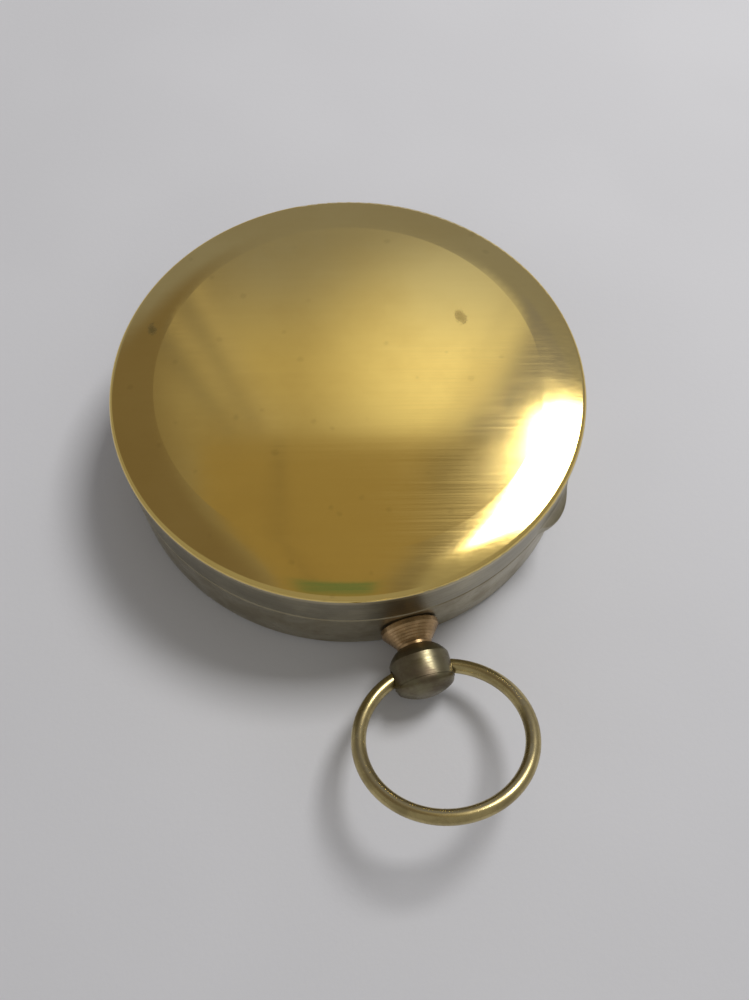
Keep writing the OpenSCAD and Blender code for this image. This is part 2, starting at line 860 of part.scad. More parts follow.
// Half the outline of the cone: spigot, rim, grooved slope and the neck's raised land.
module cone_profile() {
    slope_l = cone_l - rim_land - neck_land;
    slope_in = (rim_d - neck_d) / 2;
    step = slope_l / (groove_n + 1);
    spigot_r = rim_d / 2 - spigot_in;
    difference() {
        polygon([[0, case_r - spigot_l], [spigot_r, case_r - spigot_l], [spigot_r, rim_at],
            [rim_d / 2, rim_at], [rim_d / 2, rim_at + rim_land],
            [neck_d / 2, face_at - neck_land], [neck_d / 2 + neck_step, face_at - neck_land],
            [neck_d / 2 + neck_step, face_at], [0, face_at]]);
        for (i = [1:groove_n])
            translate([rim_d / 2 - slope_in * i * step / slope_l, rim_at + rim_land + i * step])
                rotate(45) square(groove_w, center = true);
    }
}

module pendant_cone() {
    color(DARK_BRASS)
        difference() {
            along_pendant() rotate_extrude() cone_profile();
            // Saddle that seats the spigot on the case's round wall.
            disc(-1, THROUGH, case_r + seat);
            along_pendant() disc(0, THROUGH, shank_d / 2 + run);
        }
}

// The ball's shoulder: part of a sphere on the pendant's axis, from the flat to the band.
module shoulder_profile() {
    rise = (pow(band_r, 2) + pow(shoulder_l, 2) - pow(shoulder_in, 2)) / (2 * shoulder_l);
    intersection() {
        translate([0, rise]) circle(sqrt(pow(shoulder_in, 2) + pow(rise, 2)));
        polygon([[0, shoulder_l / 2], [2 * shoulder_in, -shoulder_l / 2],
            [2 * band_r, 1.5 * shoulder_l]]);
    }
}

module pendant_ball() {
    color(DARK_BRASS)
        difference() {
            along_pendant() {
                disc(shank_end, face_at - shank_end + EPS, shank_d / 2);
                translate([0, 0, face_at])
                    rotate_extrude() {
                        shoulder_profile();
                        polygon([[0, 0], [shoulder_in, 0], [band_r, shoulder_l],
                            [band_r, ball_l - band_step], [0, ball_l - band_step]]);
                        translate([0, ball_l - band_step - EPS])
                            crown_profile(band_r - band_step, dome_h + band_step + EPS,
                                dome_corner);
                    }
            }
            // Cross hole, with a wider mouth each side where the wire goes in.
            translate([0, -hole_at, pendant_z])
                rotate([0, 90, 0]) {
                    translate([0, 0, -band_r])
                        cylinder(h = ball_d, r = bow_pin_d / 2 + run);
                    for (side = [0, 1])
                        mirror([0, 0, side])
                            translate([0, 0, band_r - mouth_depth])
                                cylinder(h = band_r, r = mouth_d / 2);
                }
        }
}

// The bow's wire is an open ring. Two pins on one axis turn in the ball's cross hole.
module bow() {
    color(BOW_BRASS)
        translate([0, -hole_at, pendant_z])
            rotate([-bow_tilt, 0, 0])
                union() {
                    translate([0, -bow_reach, 0])
                        rotate([0, 0, 90 + bow_end_angle])
                            rotate_extrude(angle = 360 - 2 * bow_end_angle)
                                translate([bow_r, 0]) circle(wire_r);
                    for (side = [-1, 1])
                        translate([side * (bow_end_x + 0.5), 0, 0])
                            rotate([0, -side * 90, 0])
                                cylinder(h = bow_pin_l, r = bow_pin_d / 2);
                }
}

case_body();
spacer_ring();
bezel();
glass();
dial_plate();
dial_screws();
pivot_post();
pendulum();
pendulum_keeper();
lever_bracket();
lifter_screws();
fulcrum_pin();
lifter_lever();
lifter_spring();
lifter_collar();
lift_plunger();
needle();
needle_cap();
needle_jewel();
balance_weight();
hinge_case_leaf();
hinge_lid_leaf();
hinge_pin();
lid_shell();
lid_ring();
pendant_cone();
pendant_ball();
bow();
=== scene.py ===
"""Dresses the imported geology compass: brass finishes, the dial's printing, a studio and a camera.

Lengths in the dataclasses are millimetres unless a name says otherwise: the origin is under
the middle of the case, +Z goes up through the lid, and the pendant points along -Y. Blender
itself works in metres.
"""

from __future__ import annotations

import logging
import math
from dataclasses import dataclass, field
from enum import Enum
from typing import Callable, Iterable, Optional, Protocol, Sequence

import bmesh
import bpy
from mathutils import Matrix, Vector


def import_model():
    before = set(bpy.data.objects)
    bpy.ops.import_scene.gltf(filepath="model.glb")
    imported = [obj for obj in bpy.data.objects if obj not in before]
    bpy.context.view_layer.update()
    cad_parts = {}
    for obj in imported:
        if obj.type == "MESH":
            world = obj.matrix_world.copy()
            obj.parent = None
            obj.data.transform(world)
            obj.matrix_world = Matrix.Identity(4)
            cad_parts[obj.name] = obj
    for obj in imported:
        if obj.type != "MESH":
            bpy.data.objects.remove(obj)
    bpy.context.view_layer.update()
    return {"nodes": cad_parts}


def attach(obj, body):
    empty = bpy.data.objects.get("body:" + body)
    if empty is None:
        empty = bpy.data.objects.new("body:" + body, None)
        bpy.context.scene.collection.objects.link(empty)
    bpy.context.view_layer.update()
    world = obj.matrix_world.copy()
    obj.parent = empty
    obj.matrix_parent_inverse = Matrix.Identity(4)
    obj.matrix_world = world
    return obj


log = logging.getLogger("compass")

MM = 0.001
MM_IN_METRE = 1000.0
Colour = tuple[float, float, float]
Point = tuple[float, float, float]


# ---- Node tools ----


class NodeTree:
    """A thin wrapper that adds and joins shader nodes with little text."""

    def __init__(self, tree: bpy.types.NodeTree) -> None:
        """Takes the tree and empties it.

        Args:
            tree: a material's, a world's or a group's node tree.
        """
        self.tree = tree
        tree.nodes.clear()

    def add(self, kind: str, **settings: object) -> bpy.types.Node:
        """Adds a node.

        Args:
            kind: the node's type name without its ShaderNode prefix.
            **settings: attributes to set on it.

        Returns:
            The new node.
        """
        prefix = "" if kind.startswith("NodeGroup") else "ShaderNode"
        node = self.tree.nodes.new(prefix + kind)
        for key, value in settings.items():
            setattr(node, key, value)
        return node

    def join(self, source: object, target: bpy.types.NodeSocket) -> None:
        """Links a socket into target, or writes a plain value on it.

        Args:
            source: an output socket, a number, or a colour or vector.
            target: the input socket.
        """
        if isinstance(source, bpy.types.NodeSocket):
            self.tree.links.new(source, target)
        elif isinstance(source, (tuple, list)) and target.type == "RGBA":
            target.default_value = (*source[:3], 1.0)
        else:
            target.default_value = source

    def math(self, operation: str, *values: object, clamp: bool = False) -> bpy.types.NodeSocket:
        """Adds a Math node.

        Args:
            operation: the node's operation.
            *values: its inputs, sockets or numbers.
            clamp: whether the result is held between 0 and 1.

        Returns:
            The result's socket.
        """
        node = self.add("Math", operation=operation, use_clamp=clamp)
        for socket, value in zip(node.inputs, values):
            self.join(value, socket)
        return node.outputs[0]

    def vector(self, operation: str, *values: object) -> bpy.types.Node:
        """Adds a Vector Math node.

        Args:
            operation: the node's operation.
            *values: its inputs, sockets, vectors or numbers.

        Returns:
            The node.
        """
        node = self.add("VectorMath", operation=operation)
        for socket, value in zip(node.inputs, values):
            self.join(value, socket)
        return node

    def ramp(self, value: object, low: float, high: float, to_low: float = 0.0,
             to_high: float = 1.0, smooth: bool = True) -> bpy.types.NodeSocket:
        """Maps a value from one range to another, and holds it there.

        Args:
            value: the socket to map.
            low: the value that gives to_low.
            high: the value that gives to_high.
            to_low: result at low.
            to_high: result at high.
            smooth: whether the step is eased at both ends.

        Returns:
            The result's socket.
        """
        node = self.add("MapRange", interpolation_type="SMOOTHSTEP" if smooth else "LINEAR")
        for name, given in (("Value", value), ("From Min", low), ("From Max", high),
                            ("To Min", to_low), ("To Max", to_high)):
            self.join(given, node.inputs[name])
        return node.outputs["Result"]

    def mix(self, share: object, first: object, second: object,
            blend: str = "MIX") -> bpy.types.NodeSocket:
        """Mixes two colours.

        Args:
            share: how much of the second colour, from 0 to 1.
            first: a colour or a socket.
            second: a colour or a socket.
            blend: the way that they mix.

        Returns:
            The mixed colour's socket.
        """
        node = self.add("Mix", data_type="RGBA", blend_type=blend)
        self.join(share, node.inputs[0])
        self.join(first, node.inputs[6])
        self.join(second, node.inputs[7])
        return node.outputs[2]

    def noise(self, vector: object, scale: float, detail: float = 4.0,
              roughness: float = 0.55) -> bpy.types.NodeSocket:
        """Adds a noise texture.

        Args:
            vector: where it is read.
            scale: cells per unit of the vector.
            detail: number of finer layers.
            roughness: how strong the finer layers are.

        Returns:
            The grey result's socket.
        """
        node = self.add("TexNoise")
        self.join(vector, node.inputs["Vector"])
        node.inputs["Scale"].default_value = scale
        node.inputs["Detail"].default_value = detail
        node.inputs["Roughness"].default_value = roughness
        return node.outputs["Fac"]

    def group(self, group: bpy.types.NodeTree, **values: object) -> bpy.types.Node:
        """Places a shared node group.

        Args:
            group: the group's tree.
            **values: inputs by name, with _ for a space.

        Returns:
            The group's node.
        """
        node = self.add("Group", node_tree=group)
        for name, value in values.items():
            self.join(value, node.inputs[name.replace("_", " ")])
        return node


class Effects:
    """The node groups that several finishes share. Each is built once, when first asked for."""

    def __init__(self) -> None:
        """Starts with no group built."""
        self._made: dict[str, bpy.types.NodeTree] = {}

    def _new(self, name: str, inputs: Sequence[tuple[str, str, object]],
             outputs: Sequence[tuple[str, str]]) -> tuple[NodeTree, bpy.types.Node,
                                                          bpy.types.Node]:
        """Makes an empty group with named sockets.

        Args:
            name: the group's name.
            inputs: name, socket type and default of each input.
            outputs: name and socket type of each output.

        Returns:
            The group's tools, its input node and its output node.
        """
        group = bpy.data.node_groups.new(name, "ShaderNodeTree")
        for title, kind, value in inputs:
            socket = group.interface.new_socket(title, in_out="INPUT",
                                                socket_type="NodeSocket" + kind)
            if value is not None:
                socket.default_value = value
        for title, kind in outputs:
            group.interface.new_socket(title, in_out="OUTPUT", socket_type="NodeSocket" + kind)
        tools = NodeTree(group)
        self._made[name] = group
        return tools, tools.add("NodeGroupInput"), tools.add("NodeGroupOutput")

    @staticmethod
    def _scaled(t: NodeTree, position: bpy.types.NodeSocket,
                size: bpy.types.NodeSocket) -> bpy.types.NodeSocket:
        """Measures a position in steps of a given size.

        Args:
            t: the group's node tools.
            position: the position in metres.
            size: the step in mm.

        Returns:
            The measured position's socket.
        """
        scaled = t.vector("SCALE", position)
        t.join(t.math("DIVIDE", MM_IN_METRE, size), scaled.inputs["Scale"])
        return scaled.outputs[0]

    def tarnish(self) -> bpy.types.NodeTree:
        """Cloudy tarnish with small freckles.

        Returns:
            A group from Position, Size and Amount to Cloud, Freckle and Fine masks.
        """
        if "Tarnish" in self._made:
            return self._made["Tarnish"]
        t, given, out = self._new(
            "Tarnish",
            [("Position", "Vector", None), ("Size", "Float", 6.0), ("Amount", "Float", 0.5)],
            [("Cloud", "Float"), ("Freckle", "Float"), ("Fine", "Float")])
        place = self._scaled(t, given.outputs["Position"], given.outputs["Size"])
        cloud = t.noise(place, scale=1.0, detail=5.0, roughness=0.6)
        edge = t.math("SUBTRACT", 1.0, given.outputs["Amount"])
        soft = t.math("SUBTRACT", cloud, t.math("MULTIPLY", edge, 0.6))
        t.join(t.ramp(soft, low=0.0, high=0.35), out.inputs["Cloud"])
        spots = t.add("TexVoronoi", feature="F1")
        t.join(place, spots.inputs["Vector"])
        spots.inputs["Scale"].default_value = 5.0
        broken = t.math("ADD", spots.outputs["Distance"],
                        t.math("MULTIPLY", t.noise(place, scale=9.0, detail=2.0), 0.35))
        t.join(t.ramp(broken, low=0.22, high=0.30, to_low=1.0, to_high=0.0),
               out.inputs["Freckle"])
        t.join(t.noise(place, scale=14.0, detail=6.0, roughness=0.7), out.inputs["Fine"])
        return t.tree

    def brushing(self) -> bpy.types.NodeTree:
        """Fine straight lines left by a brush.

        Returns:
            A group from Position, Turn in radians and Pitch in mm to Line and Streak.
        """
        if "Brushing" in self._made:
            return self._made["Brushing"]
        t, given, out = self._new(
            "Brushing",
            [("Position", "Vector", None), ("Turn", "Float", 0.0), ("Pitch", "Float", 0.1)],
            [("Line", "Float"), ("Streak", "Float")])
        turned = t.add("VectorRotate", rotation_type="Z_AXIS")
        t.join(given.outputs["Position"], turned.inputs["Vector"])
        t.join(given.outputs["Turn"], turned.inputs["Angle"])
        fitted = self._scaled(t, turned.outputs[0], given.outputs["Pitch"])
        lines = t.vector("MULTIPLY", fitted, (0.006, 1.0, 1.0)).outputs[0]
        t.join(t.noise(lines, scale=0.5, detail=3.0, roughness=0.65), out.inputs["Line"])
        streaks = t.vector("MULTIPLY", fitted, (0.004, 0.12, 0.12)).outputs[0]
        t.join(t.noise(streaks, scale=0.6, detail=3.0, roughness=0.5), out.inputs["Streak"])
        return t.tree

    def turning(self) -> bpy.types.NodeTree:
        """Rings that a lathe's tool leaves round the Z of the position given.

        Returns:
            A group from Position and Pitch in mm to Ring and Patch.
        """
        if "Turning" in self._made:
            return self._made["Turning"]
        t, given, out = self._new(
            "Turning",
            [("Position", "Vector", None), ("Pitch", "Float", 0.15)],
            [("Ring", "Float"), ("Patch", "Float")])
        split = t.add("SeparateXYZ")
        t.join(given.outputs["Position"], split.inputs[0])
        x, y, z = split.outputs
        radius = t.math("SQRT", t.math("ADD", t.math("MULTIPLY", x, x),
                                       t.math("MULTIPLY", y, y)))
        angle = t.math("ARCTAN2", y, x)
        per_pitch = t.math("DIVIDE", MM_IN_METRE, given.outputs["Pitch"])
        sine = t.math("SINE", angle)
        cosine = t.math("COSINE", angle)
        ring_at = t.add("CombineXYZ")
        t.join(t.math("MULTIPLY", radius, per_pitch), ring_at.inputs[0])
        t.join(t.math("MULTIPLY", z, per_pitch), ring_at.inputs[1])
        t.join(t.math("MULTIPLY", sine, 0.6), ring_at.inputs[2])
        t.join(t.noise(ring_at.outputs[0], scale=0.5, detail=3.0, roughness=0.6),
               out.inputs["Ring"])
        patch_at = t.add("CombineXYZ")
        t.join(t.math("MULTIPLY", cosine, 5.0), patch_at.inputs[0])
        t.join(t.math("MULTIPLY", sine, 5.0), patch_at.inputs[1])
        t.join(t.math("MULTIPLY", t.math("ADD", z, radius), 900.0), patch_at.inputs[2])
        t.join(t.noise(patch_at.outputs[0], scale=0.7, detail=3.0, roughness=0.5),
               out.inputs["Patch"])
        return t.tree


effects = Effects()


# ---- Finishes ----


class Lay(Enum):
    """How the fine lines of a metal surface run."""

    STRAIGHT = "straight"
    TURNED = "turned"
    NONE = "none"


class Finish(Protocol):
    """What every finish offers: a name, and a material made from it."""

    name: str

    def material(self) -> bpy.types.Material:
        """Builds the material."""


@dataclass(frozen=True)
class Metal:
    """A metal finish with tarnish, fine tool lines and an uneven shine.

    Attributes:
        name: the material's name.
        fresh: colour of the clean metal.
        aged: colour where it has tarnished.
        tarnish: share of the surface that has tarnished, from 0 to 1.
        cloud: size of the tarnish's clouds in mm.
        shine: roughness of the clean metal and of the tarnished metal.
        lay: how the tool lines run.
        pitch: spacing of the tool lines in mm.
        depth: depth of the tool lines in mm.
        turn: direction of straight lines, in degrees from X.
        axis: the point and direction that turned lines go round, or None for Z through 0.
        freckles: how dark the small spots are, from 0 to 1.
        streak: how much the tone changes along the tool lines, from 0 to 1.
        deep: what the colour is multiplied by where that tone is deepest.
    """

    name: str
    fresh: Colour
    aged: Colour
    tarnish: float = 0.45
    cloud: float = 6.0
    shine: tuple[float, float] = (0.2, 0.4)
    lay: Lay = Lay.TURNED
    pitch: float = 0.12
    depth: float = 0.004
    turn: float = 0.0
    axis: Optional[tuple[Point, Point]] = None
    freckles: float = 0.2
    streak: float = 0.30
    deep: Colour = (0.80, 0.74, 0.64)

    def material(self) -> bpy.types.Material:
        """Builds the material.

        Returns:
            The new material, with a Principled shader.
        """
        material = bpy.data.materials.new(self.name)
        material.use_nodes = True
        t = NodeTree(material.node_tree)
        out = t.add("OutputMaterial")
        shader = t.add("BsdfPrincipled")
        t.join(shader.outputs[0], out.inputs["Surface"])
        shader.inputs["Metallic"].default_value = 1.0
        place = self.place(t)
        stain = t.group(effects.tarnish(), Position=place, Size=self.cloud,
                        Amount=self.tarnish)
        colour = t.mix(stain.outputs["Cloud"], self.fresh, self.aged)
        spots = t.math("MULTIPLY", stain.outputs["Freckle"], self.freckles)
        colour = t.mix(spots, colour, tuple(0.35 * c for c in self.aged))
        shine = t.ramp(stain.outputs["Cloud"], 0.0, 1.0, self.shine[0], self.shine[1])
        height = stain.outputs["Fine"]
        if self.lay is not Lay.NONE:
            lines, tone = self.lines(t, place)
            colour = t.mix(t.ramp(tone, 0.3, 0.7, 0.0, self.streak), colour,
                           t.mix(1.0, colour, self.deep, "MULTIPLY"))
            swing = 0.15 * self.shine[1]
            shine = t.math("ADD", shine, t.ramp(lines, 0.3, 0.7, -swing, swing))
            height = lines
        colour, shine = self.special(t, place, colour, shine)
        t.join(colour, shader.inputs["Base Color"])
        t.join(shine, shader.inputs["Roughness"])
        bump = t.add("Bump")
        bump.inputs["Strength"].default_value = 1.0
        bump.inputs["Distance"].default_value = self.depth * MM
        t.join(height, bump.inputs["Height"])
        t.join(bump.outputs[0], shader.inputs["Normal"])
        return material

    def place(self, t: NodeTree) -> bpy.types.NodeSocket:
        """Gives the position on the piece, with Z along the lathe's axis for turned lines.

        Args:
            t: the material's node tools.

        Returns:
            The position's socket.
        """
        at = t.add("TexCoord").outputs["Object"]
        if self.lay is not Lay.TURNED or self.axis is None:
            return at
        origin, way = Vector(self.axis[0]) * MM, Vector(self.axis[1])
        moved = t.vector("SUBTRACT", at, tuple(origin)).outputs[0]
        turn = way.rotation_difference(Vector((0.0, 0.0, 1.0))).to_euler()
        node = t.add("VectorRotate", rotation_type="EULER_XYZ")
        t.join(moved, node.inputs["Vector"])
        node.inputs["Rotation"].default_value = turn
        return node.outputs[0]

    def lines(self, t: NodeTree, place: bpy.types.NodeSocket
              ) -> tuple[bpy.types.NodeSocket, bpy.types.NodeSocket]:
        """Adds the fine lines.

        Args:
            t: the material's node tools.
            place: the position's socket.

        Returns:
            The lines' height, and the slower change of tone along them.
        """
        if self.lay is Lay.STRAIGHT:
            node = t.group(effects.brushing(), Position=place,
                           Turn=math.radians(-self.turn), Pitch=self.pitch)
            return node.outputs["Line"], node.outputs["Streak"]
        node = t.group(effects.turning(), Position=place, Pitch=self.pitch)
        return node.outputs["Ring"], node.outputs["Patch"]

    def special(self, t: NodeTree, place: bpy.types.NodeSocket, colour: bpy.types.NodeSocket,
                shine: bpy.types.NodeSocket
                ) -> tuple[bpy.types.NodeSocket, bpy.types.NodeSocket]:
        """Adds what only this finish has. A plain metal has nothing more.

        Args:
            t: the material's node tools.
            place: the position's socket.
            colour: the colour so far.
            shine: the roughness so far.

        Returns:
            The colour and the roughness.
        """
        return colour, shine


@dataclass(frozen=True)
class LidMetal(Metal):
    """The lid's brass: bright and brushed on top, dull on the wall.

    Attributes:
        wall: colour of the wall.
        wall_shine: roughness of the wall.
        top_z: height where the wall gives way to the top.
        band_z: height where the wall's paler band starts.
        smudges: place and size across of each dark, dulled spot painted on the top as the
            reflection of a ceiling fixture, in mm.
    """

    wall: Colour = (0.40, 0.36, 0.25)
    wall_shine: float = 0.34
    top_z: float = 19.05
    band_z: float = 18.1
    # Places of the dark spots painted on the top as reflections of ceiling fixtures.
    smudges: Sequence[tuple[float, float, float]] = ((20.4, 6.6, 1.5), (-28.6, 16.1, 1.1))

    def special(self, t: NodeTree, place: bpy.types.NodeSocket, colour: bpy.types.NodeSocket,
                shine: bpy.types.NodeSocket
                ) -> tuple[bpy.types.NodeSocket, bpy.types.NodeSocket]:
        """Turns the top's brass to the wall's below the lid's edge.

        Args:
            t: the material's node tools.
            place: the position's socket.
            colour: the colour so far.
            shine: the roughness so far.

        Returns:
            The colour and the roughness.
        """
        # Painted reflections: dark spots on the top that stand in for reflected ceiling fixtures.
        colour, shine = self.smudge(t, place, colour, shine)
        split = t.add("SeparateXYZ")
        t.join(place, split.inputs[0])
        height = split.outputs[2]
        turned = t.group(effects.turning(), Position=place, Pitch=0.09)
        stain = t.group(effects.tarnish(), Position=place, Size=5.0, Amount=0.55)
        wall = t.mix(stain.outputs["Cloud"], self.wall, tuple(0.72 * c for c in self.wall))
        wall = t.mix(t.ramp(turned.outputs["Ring"], 0.35, 0.65, 0.0, 0.35), wall,
                     t.mix(1.0, wall, (0.7, 0.66, 0.6), "MULTIPLY"))
        band = t.ramp(height, self.band_z * MM, (self.band_z + 0.1) * MM)
        wall = t.mix(t.math("MULTIPLY", band, 0.55), wall, (0.62, 0.54, 0.36))
        on_top = t.ramp(height, (self.top_z - 0.12) * MM, (self.top_z + 0.12) * MM)
        rough = t.math("ADD", self.wall_shine, t.ramp(turned.outputs["Ring"], 0.3, 0.7,
                                                      -0.05, 0.06))
        mixed = t.add("Mix", data_type="FLOAT")
        t.join(on_top, mixed.inputs[0])
        t.join(rough, mixed.inputs[2])
        t.join(shine, mixed.inputs[3])
        return t.mix(on_top, wall, colour), mixed.outputs[0]

    def smudge(self, t: NodeTree, place: bpy.types.NodeSocket, colour: bpy.types.NodeSocket,
               shine: bpy.types.NodeSocket) -> tuple[bpy.types.NodeSocket, bpy.types.NodeSocket]:
        """Paints dark spots on the top that stand in for reflections of ceiling fixtures, and dulls
        them.

        Args:
            t: the material's node tools.
            place: the position's socket.
            colour: the colour so far.
            shine: the roughness so far.

        Returns:
            The colour and the roughness.
        """
        ragged = t.noise(place, scale=900.0, detail=3.0, roughness=0.6)
        for x, y, across in self.smudges:
            off = t.vector("SUBTRACT", place, (x * MM, y * MM, self.top_z * MM)).outputs[0]
            flat = t.vector("MULTIPLY", off, (1.0, 0.6, 0.0)).outputs[0]
            reach = t.vector("LENGTH", flat).outputs["Value"]
            near = t.math("ADD", t.math("DIVIDE", reach, across * MM), ragged)
            mask = t.ramp(near, low=0.75, high=1.25, to_low=0.72, to_high=0.0)
            # Painted reflection: darkens the top's colour inside each spot and makes it rougher.
            colour = t.mix(mask, colour, tuple(0.22 * c for c in self.aged))
            shine = t.math("ADD", shine, t.math("MULTIPLY", mask, 0.3))
        return colour, shine


@dataclass(frozen=True)
class Glass:
    """Clear glass with a faint tint.

    Attributes:
        name: the material's name.
        tint: colour of what shows through.
    """

    name: str
    tint: Colour

    def material(self) -> bpy.types.Material:
        """Builds the material.

        Returns:
            The new material, with a Principled shader.
        """
        material = bpy.data.materials.new(self.name)
        material.use_nodes = True
        t = NodeTree(material.node_tree)
        out = t.add("OutputMaterial")
        shader = t.add("BsdfPrincipled")
        t.join(shader.outputs[0], out.inputs["Surface"])
        t.join(self.tint, shader.inputs["Base Color"])
        shader.inputs["Transmission Weight"].default_value = 1.0
        shader.inputs["IOR"].default_value = 1.5
        at = t.add("TexCoord").outputs["Object"]
        smear = t.group(effects.tarnish(), Position=at, Size=11.0, Amount=0.4)
        t.join(t.ramp(smear.outputs["Cloud"], 0.0, 1.0, 0.0, 0.035), shader.inputs["Roughness"])
        return material


@dataclass(frozen=True)
class Paint:
    """A paint, print or silvered face that isn't bare metal.

    Attributes:
        name: the material's name.
        colour: main colour.
        shade: colour of its slow variation.
        roughness: its roughness.
        metallic: how metallic it is.
        grain: size of its grain in mm.
        depth: depth of its grain in mm.
    """

    name: str
    colour: Colour
    shade: Colour
    roughness: float = 0.5
    metallic: float = 0.0
    grain: float = 1.2
    depth: float = 0.002

    def material(self) -> bpy.types.Material:
        """Builds the material.

        Returns:
            The new material, with a Principled shader.
        """
        material = bpy.data.materials.new(self.name)
        material.use_nodes = True
        t = NodeTree(material.node_tree)
        out = t.add("OutputMaterial")
        shader = t.add("BsdfPrincipled")
        t.join(shader.outputs[0], out.inputs["Surface"])
        shader.inputs["Metallic"].default_value = self.metallic
        at = t.add("TexCoord").outputs["Object"]
        stain = t.group(effects.tarnish(), Position=at, Size=self.grain, Amount=0.5)
        t.join(t.mix(stain.outputs["Cloud"], self.colour, self.shade),
               shader.inputs["Base Color"])
        t.join(t.ramp(stain.outputs["Fine"], 0.3, 0.7, self.roughness - 0.06,
                      self.roughness + 0.06), shader.inputs["Roughness"])
        bump = t.add("Bump")
        bump.inputs["Distance"].default_value = self.depth * MM
        t.join(stain.outputs["Fine"], bump.inputs["Height"])
        t.join(bump.outputs[0], shader.inputs["Normal"])
        return material


PENDANT_AXIS: tuple[Point, Point] = ((0.0, 0.0, 5.65), (0.0, -1.0, 0.0))

LID_BRASS = LidMetal("lid_brass", (0.86, 0.65, 0.22), (0.80, 0.59, 0.19), tarnish=0.4,
                     cloud=22.0, shine=(0.09, 0.12), lay=Lay.STRAIGHT, pitch=0.08,
                     depth=0.00022, turn=-13.1, freckles=0.12, streak=0.05)
WALL_BRASS = Metal("wall_brass", (0.42, 0.38, 0.27), (0.31, 0.27, 0.18), shine=(0.30, 0.42),
                   pitch=0.09, depth=0.003, cloud=5.0)
INNER_BRASS = Metal("inner_brass", (0.80, 0.62, 0.30), (0.66, 0.48, 0.20), tarnish=0.3,
                    shine=(0.16, 0.26), pitch=0.10, depth=0.003)
CONE_BRASS = Metal("cone_brass", (0.56, 0.38, 0.20), (0.36, 0.24, 0.12), shine=(0.22, 0.34),
                   cloud=3.0, pitch=0.16, depth=0.01, axis=PENDANT_AXIS)
BALL_BRASS = Metal("ball_brass", (0.20, 0.18, 0.11), (0.15, 0.12, 0.08), shine=(0.36, 0.48),
                   cloud=2.5, pitch=0.14, depth=0.003, axis=PENDANT_AXIS)
BOW_BRASS = Metal("bow_brass", (0.56, 0.46, 0.22), (0.36, 0.29, 0.14), shine=(0.22, 0.34),
                  cloud=4.0, lay=Lay.NONE, depth=0.004)
HINGE_BRASS = Metal("hinge_brass", (0.40, 0.34, 0.21), (0.26, 0.21, 0.13), cloud=3.0,
                    lay=Lay.NONE)
STEEL = Metal("steel", (0.60, 0.61, 0.63), (0.45, 0.44, 0.43), tarnish=0.25, cloud=2.0,
              shine=(0.2, 0.32), lay=Lay.NONE)
BLUED = Metal("blued_steel", (0.05, 0.09, 0.22), (0.04, 0.05, 0.12), tarnish=0.3, cloud=5.0,
              shine=(0.22, 0.30), lay=Lay.STRAIGHT, turn=90.0, pitch=0.08, depth=0.002)
CLEAR = Glass("clear_glass", (0.96, 0.98, 0.98))
RUBY = Paint("jewel_red", (0.42, 0.02, 0.05), (0.30, 0.01, 0.04), roughness=0.12)
SILVERED = Metal("silvered", (0.80, 0.79, 0.74), (0.72, 0.70, 0.62), tarnish=0.3, cloud=9.0,
                 shine=(0.42, 0.5), pitch=0.09, depth=0.003, freckles=0.05)
INK = Paint("dial_ink", (0.018, 0.018, 0.02), (0.03, 0.03, 0.032), roughness=0.55)

FINISH_OF_NODE: dict[str, Finish] = {
    "case_body": WALL_BRASS,
    "spacer_ring": INNER_BRASS,
    "bezel": INNER_BRASS,
    "glass": CLEAR,
    "dial_plate": SILVERED,
    "dial_screws": INNER_BRASS,
    "pivot_post": INNER_BRASS,
    "pendulum": HINGE_BRASS,
    "pendulum_keeper": INNER_BRASS,
    "lever_bracket": INNER_BRASS,
    "lifter_screws": STEEL,
    "fulcrum_pin": STEEL,
    "lifter_lever": INNER_BRASS,
    "lifter_spring": STEEL,
    "lifter_collar": INNER_BRASS,
    "lift_plunger": STEEL,
    "needle": BLUED,
    "needle_cap": INNER_BRASS,
    "needle_jewel": RUBY,
    "balance_weight": INNER_BRASS,
    "hinge_case_leaf": HINGE_BRASS,
    "hinge_lid_leaf": HINGE_BRASS,
    "hinge_pin": STEEL,
    "lid_shell": LID_BRASS,
    "lid_ring": INNER_BRASS,
    "pendant_cone": CONE_BRASS,
    "pendant_ball": BALL_BRASS,
    "bow": BOW_BRASS,
}


class Wardrobe:
    """Makes each finish's material once and dresses pieces in it."""

    def __init__(self) -> None:
        """Starts with no material made."""
        self._made: dict[str, bpy.types.Material] = {}

    def get(self, finish: Finish) -> bpy.types.Material:
        """Gives a finish's material.

        Args:
            finish: one of the finishes above.

        Returns:
            The material.
        """
        if finish.name not in self._made:
            self._made[finish.name] = finish.material()
        return self._made[finish.name]

    def dress(self, piece: bpy.types.Object, finish: Finish) -> None:
        """Gives a piece one finish all over.

        Args:
            piece: a CAD node or a piece made here.
            finish: one of the finishes above.
        """
        if not piece.data.materials:
            piece.data.materials.append(self.get(finish))
        for i in range(len(piece.data.materials)):
            piece.data.materials[i] = self.get(finish)


# ---- Printing on the dial ----


def mesh_piece(name: str, build: Callable[[bmesh.types.BMesh], None]) -> bpy.types.Object:
    """Makes a mesh object from a function that fills a bmesh.

    Args:
        name: the piece's name.
        build: fills the bmesh, in metres.

    Returns:
        The new object, linked to the scene.
    """
    mesh = bpy.data.meshes.new(name)
    bm = bmesh.new()
    build(bm)
    bmesh.ops.recalc_face_normals(bm, faces=bm.faces)
    bm.to_mesh(mesh)
    bm.free()
    piece = bpy.data.objects.new(name, mesh)
    bpy.context.scene.collection.objects.link(piece)
    return piece


